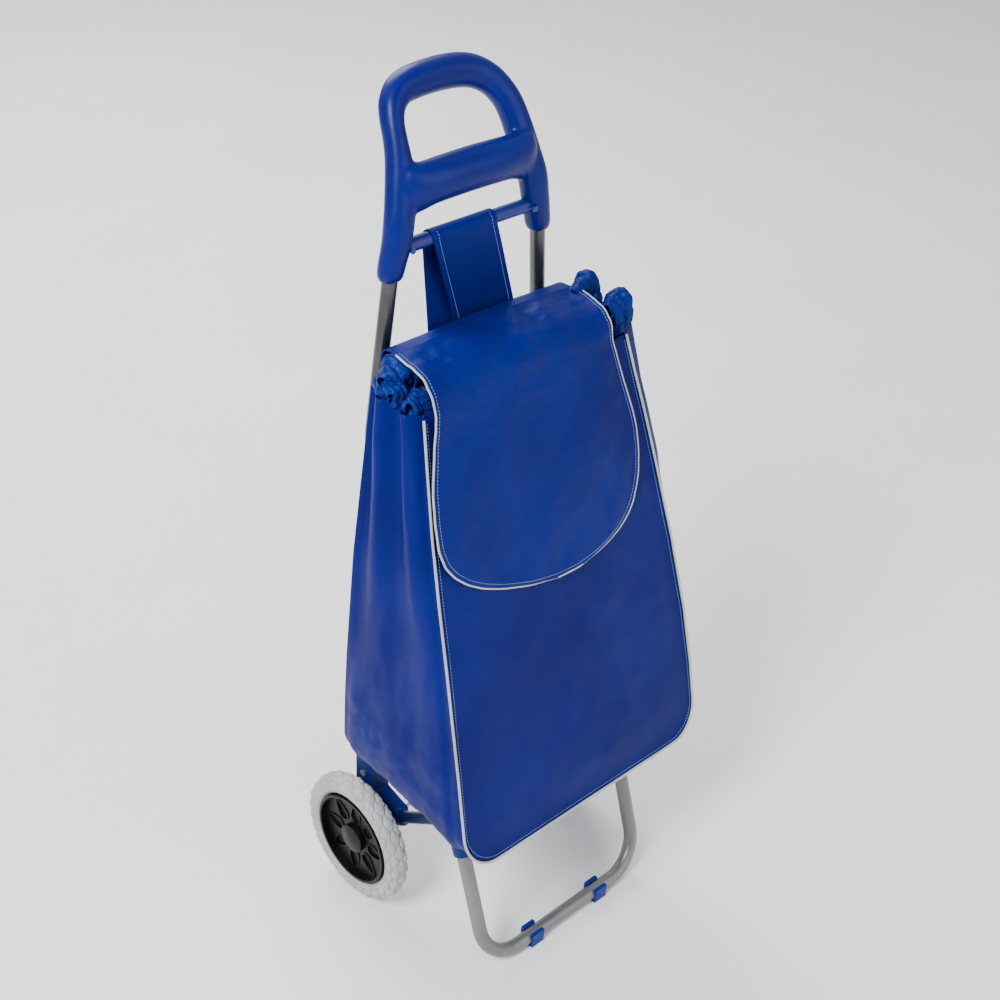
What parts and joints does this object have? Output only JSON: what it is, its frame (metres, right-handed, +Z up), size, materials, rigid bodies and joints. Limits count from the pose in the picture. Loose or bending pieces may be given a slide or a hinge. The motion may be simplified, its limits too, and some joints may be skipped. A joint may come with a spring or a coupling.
{
  "type": "shopping trolley",
  "caption": "Upright shopping trolley: tube frame with a looped moulded handle, wheels on a fixed axle, a front stand, and a fabric bag with gathered collar and flap.",
  "frame": {"origin": "on the floor, under the middle of the whole trolley's box", "axes": "+Z up, -Y to the front where the stand and the flap are, +X to the right wheel, along the axle"},
  "size_m": [0.339, 0.3026, 0.948],
  "materials": {
    "handle_plastic": "satin moulded plastic, royal blue",
    "bracket_plastic": "moulded plastic, dark blue",
    "upright_metal": "dark grey metallic paint",
    "stand_metal": "light grey metallic paint",
    "blue_paint": "blue powder coat",
    "bright_steel": "zinc-plated steel",
    "foam_tyre": "light grey moulded foam",
    "hub_plastic": "black moulded plastic",
    "bag_fabric": "coated woven fabric, royal blue, satin",
    "board": "stiff fibre board"
  },
  "bodies": {
    "frame": {"handle": "handle_plastic", "crossbar": "blue_paint", "crossbar_screws": "bright_steel", "handle_screws": "bright_steel", "upright_tube_left": "upright_metal", "upright_tube_right": "upright_metal", "corner_bracket_left": "bracket_plastic", "corner_bracket_right": "bracket_plastic", "support_arm_left": "blue_paint", "support_arm_right": "blue_paint", "stand_elbow_left": "bracket_plastic", "stand_elbow_right": "bracket_plastic", "bracket_rivets": "bright_steel", "elbow_rivets": "bright_steel", "rear_brace": "blue_paint", "foot_tube": "stand_metal", "foot_clip_left": "bracket_plastic", "foot_clip_right": "bracket_plastic", "axle": "bright_steel", "inner_washers": "bright_steel", "outer_washers": "bright_steel", "push_nuts": "bright_steel", "bag_body": "bag_fabric", "base_board": "board", "collar": "bag_fabric", "back_yoke": "bag_fabric", "hanging_strap": "bag_fabric"},
    "wheel_left": {"tyre_left": "foam_tyre", "hub_left": "hub_plastic", "hub_cap_left": "hub_plastic"},
    "wheel_right": {"tyre_right": "foam_tyre", "hub_right": "hub_plastic", "hub_cap_right": "hub_plastic"},
    "flap_rear": {"flap_top": "bag_fabric"},
    "flap_hanging": {"flap_front": "bag_fabric"}
  },
  "joints": [
    {"name": "wheel_left_spin", "type": "hinge", "parent": "frame", "child": "wheel_left", "pos_m": [-0.15, 0.05675, 0.08], "axis": [1, 0, 0], "continuous": true},
    {"name": "wheel_right_spin", "type": "hinge", "parent": "frame", "child": "wheel_right", "pos_m": [0.15, 0.05675, 0.08], "axis": [1, 0, 0], "continuous": true},
    {"name": "flap_lift", "type": "hinge", "parent": "frame", "child": "flap_rear", "pos_m": [0, 0.05375, 0.704], "axis": [-1, 0, 0], "range_deg": [0, 95]},
    {"name": "flap_fold", "type": "hinge", "parent": "flap_rear", "child": "flap_hanging", "pos_m": [0, -0.01049, 0.704], "axis": [-1, 0, 0], "range_deg": [0, 73.4]}
  ],
  "couplings": [
    {"joint": "flap_fold", "follows": "flap_lift", "ratio": 0.77}
  ]
}
